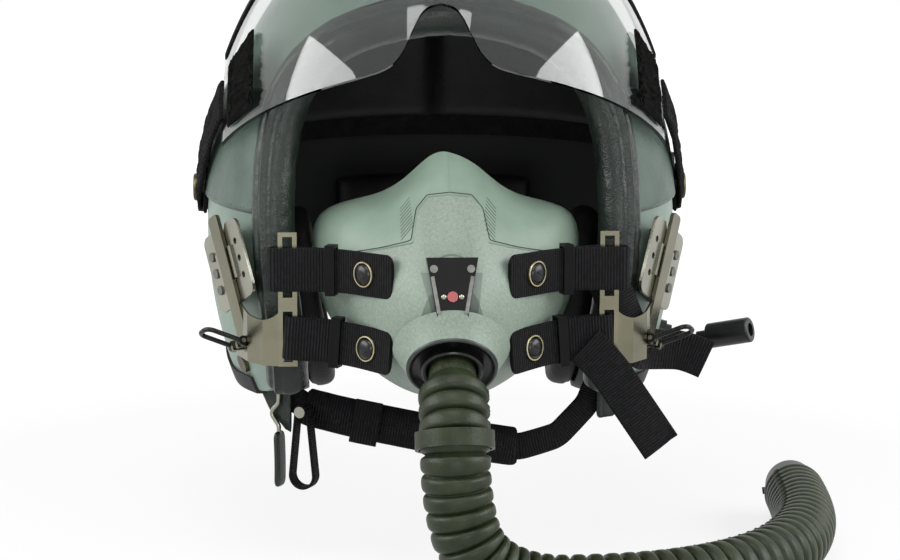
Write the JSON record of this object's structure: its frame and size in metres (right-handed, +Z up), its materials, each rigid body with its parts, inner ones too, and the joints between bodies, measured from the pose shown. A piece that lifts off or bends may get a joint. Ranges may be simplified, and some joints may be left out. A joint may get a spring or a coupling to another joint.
{
  "type": "flight helmet with oxygen mask",
  "caption": "Pilot flight helmet with a clear tilting visor, an oxygen mask held by two bayonet receivers, a ribbed breathing hose and a chin strap.",
  "frame": {"origin": "midway between the ear cups, inside the shell, where the wearer's head sits", "axes": "+X to the wearer's left, -Y forwards, +Z up"},
  "size_m": [0.3501, 0.368, 0.3591],
  "materials": {
    "shell_paint": "satin",
    "dark_leather": "satin",
    "welt_rubber": "matte",
    "liner_foam": "matte",
    "comfort_leather": "satin",
    "cup_plastic": "matte",
    "seal_leather": "satin",
    "earphone_black": "matte",
    "clear_visor": "gloss",
    "black_binding": "matte",
    "hook_pile": "matte",
    "black_webbing": "matte",
    "elastic_band": "matte",
    "black_plastic": "satin",
    "grey_leather": "matte",
    "snap_brass": "satin",
    "bright_steel": "satin",
    "black_steel": "satin",
    "mask_rubber": "matte",
    "mask_composite": "satin",
    "button_red": "satin",
    "valve_silicone": "satin",
    "hose_green": "matte",
    "jack_plastic": "gloss"
  },
  "bodies": {
    "helmet": {"outer_shell": "shell_paint", "foam_liner": "liner_foam", "comfort_liner": "comfort_leather", "nape_pad": "comfort_leather", "edge_roll": "dark_leather", "side_covers": "dark_leather", "shell_welt": "welt_rubber", "earphones": "earphone_black", "ear_seals": "seal_leather", "ear_cup_pads": "liner_foam", "ear_cups": "cup_plastic", "snap_studs": "snap_brass", "visor_strap": "elastic_band", "strap_buckles": "black_plastic", "pull_tabs": "grey_leather", "receiver_pads": "black_binding", "receiver_spacers": "black_plastic", "receiver_plates": "bright_steel", "receiver_rivets": "bright_steel", "chin_strap": "black_webbing", "chin_pad": "black_webbing", "ear_tabs": "dark_leather", "hanging_studs": "bright_steel", "comms_gland": "black_plastic", "comms_lead": "black_binding", "comms_jack": "jack_plastic"},
    "visor": {"visor_lens": "clear_visor", "visor_trim": "black_binding", "visor_patches": "hook_pile", "visor_tabs": "dark_leather"},
    "mask": {"bayonets": "bright_steel", "lever_pins": "bright_steel", "mask_facepiece": "mask_rubber", "mask_hardshell": "mask_composite", "valve_cover": "black_plastic", "cover_rails": "bright_steel", "cover_screws": "bright_steel", "valve_seats": "black_plastic", "inlet_ring": "mask_composite", "inlet_cup": "black_plastic", "microphone": "earphone_black", "upper_straps": "black_webbing", "lower_straps": "black_webbing", "strap_keepers": "black_plastic", "strap_rings": "snap_brass", "strap_domes": "black_plastic", "strap_tails": "black_webbing", "breathing_hose": "hose_green", "hose_collar": "hose_green", "hose_clamp": "hose_green", "hose_cuff": "jack_plastic", "end_connector": "jack_plastic"},
    "lever_left": {"release_lever_left": "black_steel"},
    "lever_right": {"release_lever_right": "black_steel"},
    "button": {"test_button": "button_red"},
    "inhale_flap": {"inhale_disc": "valve_silicone"},
    "exhale_flap": {"exhale_disc": "valve_silicone"},
    "hook": {"wire_hook": "bright_steel", "hook_pull": "dark_leather"},
    "loop": {"webbing_loop": "black_webbing"}
  },
  "joints": [
    {"name": "visor_tilt", "type": "hinge", "parent": "helmet", "child": "visor", "pos_m": [0, 0, 0.03], "axis": [-1, 0, 0], "range_deg": [-26, 40]},
    {"name": "mask_release", "type": "slide", "parent": "helmet", "child": "mask", "axis": [0, -0.3547, -0.935], "range_m": [0, 0.03]},
    {"name": "lever_left_pull", "type": "hinge", "parent": "mask", "child": "lever_left", "pos_m": [0.10653, -0.10566, -0.03812], "axis": [0.4465, 0.7889, -0.4222], "range_deg": [0, 25], "stiffness_Nm_per_rad": 0.02},
    {"name": "lever_right_pull", "type": "hinge", "parent": "mask", "child": "lever_right", "pos_m": [-0.10653, -0.10566, -0.03812], "axis": [0.4465, -0.7889, 0.4222], "range_deg": [0, 25], "stiffness_Nm_per_rad": 0.02},
    {"name": "test_button_press", "type": "slide", "parent": "mask", "child": "button", "axis": [0, 0.9781, -0.2079], "range_m": [0, 0.001], "stiffness_N_per_m": 1500},
    {"name": "inhale_flap_lift", "type": "slide", "parent": "mask", "child": "inhale_flap", "axis": [0, 0.766, 0.6428], "range_m": [0, 0.002], "stiffness_N_per_m": 200},
    {"name": "exhale_flap_lift", "type": "slide", "parent": "mask", "child": "exhale_flap", "axis": [0, -0.9781, 0.2079], "range_m": [0, 0.0015], "stiffness_N_per_m": 200},
    {"name": "hook_swing", "type": "hinge", "parent": "helmet", "child": "hook", "pos_m": [-0.08674, -0.06201, -0.06599], "axis": [-0.4405, -0.8978, 0], "range_deg": [-25, 4]},
    {"name": "loop_swing", "type": "hinge", "parent": "helmet", "child": "loop", "pos_m": [-0.07228, -0.06791, -0.07999], "axis": [-0.4058, -0.914, 0], "range_deg": [-4, 20]}
  ]
}
